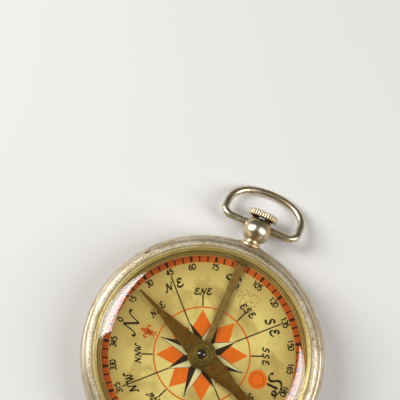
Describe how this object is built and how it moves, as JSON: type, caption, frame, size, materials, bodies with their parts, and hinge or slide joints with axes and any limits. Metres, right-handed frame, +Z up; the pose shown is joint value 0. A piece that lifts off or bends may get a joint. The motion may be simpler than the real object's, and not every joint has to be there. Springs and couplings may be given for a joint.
{
  "type": "pocket compass",
  "caption": "Open-faced pocket compass in a watch-shaped metal case, with a push crown that arrests the needle, a domed crystal and a swinging wire bow.",
  "frame": {"origin": "centre of the case back's flat face, which the compass lies on", "axes": "+Z up through the middle of the dial and out of the crystal, +Y towards the pendant and crown (the dial's 90 degree mark), +X to the dial's 180 degree mark"},
  "size_m": [0.045, 0.0564, 0.0103],
  "materials": {
    "nickel_plate": "satin",
    "yellow_brass": "satin",
    "dull_brass": "matte",
    "bronzed_steel": "satin",
    "steel": "satin",
    "printed_card": "matte",
    "glass": "gloss",
    "dark_stone": "gloss"
  },
  "bodies": {
    "case": {"case_body": "nickel_plate", "bezel": "nickel_plate", "crystal": "glass", "dial_ring": "yellow_brass", "dial_card": "printed_card", "dial_plate": "yellow_brass", "support_ring": "yellow_brass", "pivot_base": "yellow_brass", "pivot_pin": "steel", "lever_rivet_left": "yellow_brass", "lever_rivet_right": "yellow_brass", "stem_spring": "steel", "stem_guide": "yellow_brass", "guide_screw_left": "steel", "guide_screw_right": "steel", "pendant": "nickel_plate"},
    "slider": {"spring_washer": "steel"},
    "stem": {"stem": "steel", "crown": "nickel_plate"},
    "lever": {"lever": "dull_brass"},
    "lifter": {"jewel": "dark_stone"},
    "needle": {"needle": "bronzed_steel", "needle_cap": "bronzed_steel", "cap_washer": "yellow_brass"},
    "bow": {"bow": "nickel_plate"}
  },
  "joints": [
    {"name": "crown_press", "type": "slide", "parent": "case", "child": "slider", "axis": [0, -1, 0], "range_m": [0, 0.0006], "stiffness_N_per_m": 300, "springref_m": -0.001, "deforming": ["stem_spring"]},
    {"name": "crown_turn", "type": "hinge", "parent": "slider", "child": "stem", "pos_m": [0, 0.0285, 0.004], "axis": [0, 1, 0], "continuous": true},
    {"name": "lever_lift", "type": "hinge", "parent": "case", "child": "lever", "pos_m": [0, 0.01925, 0.0066], "axis": [-1, 0, 0], "range_deg": [0, 2.42]},
    {"name": "needle_lift", "type": "slide", "parent": "case", "child": "lifter", "axis": [0, 0, 1], "range_m": [0, 0.0007001]},
    {"name": "needle_turn", "type": "hinge", "parent": "lifter", "child": "needle", "pos_m": [0, 0, 0.0078], "axis": [0, 0, 1], "continuous": true},
    {"name": "bow_swing", "type": "hinge", "parent": "case", "child": "bow", "pos_m": [0, 0.0263, 0.004], "axis": [1, 0, 0], "range_deg": [-120, 150]}
  ],
  "couplings": [
    {"joint": "lever_lift", "follows": "crown_press", "rad_per_m": 70.13},
    {"joint": "needle_lift", "follows": "crown_press", "ratio": 1.1667}
  ]
}
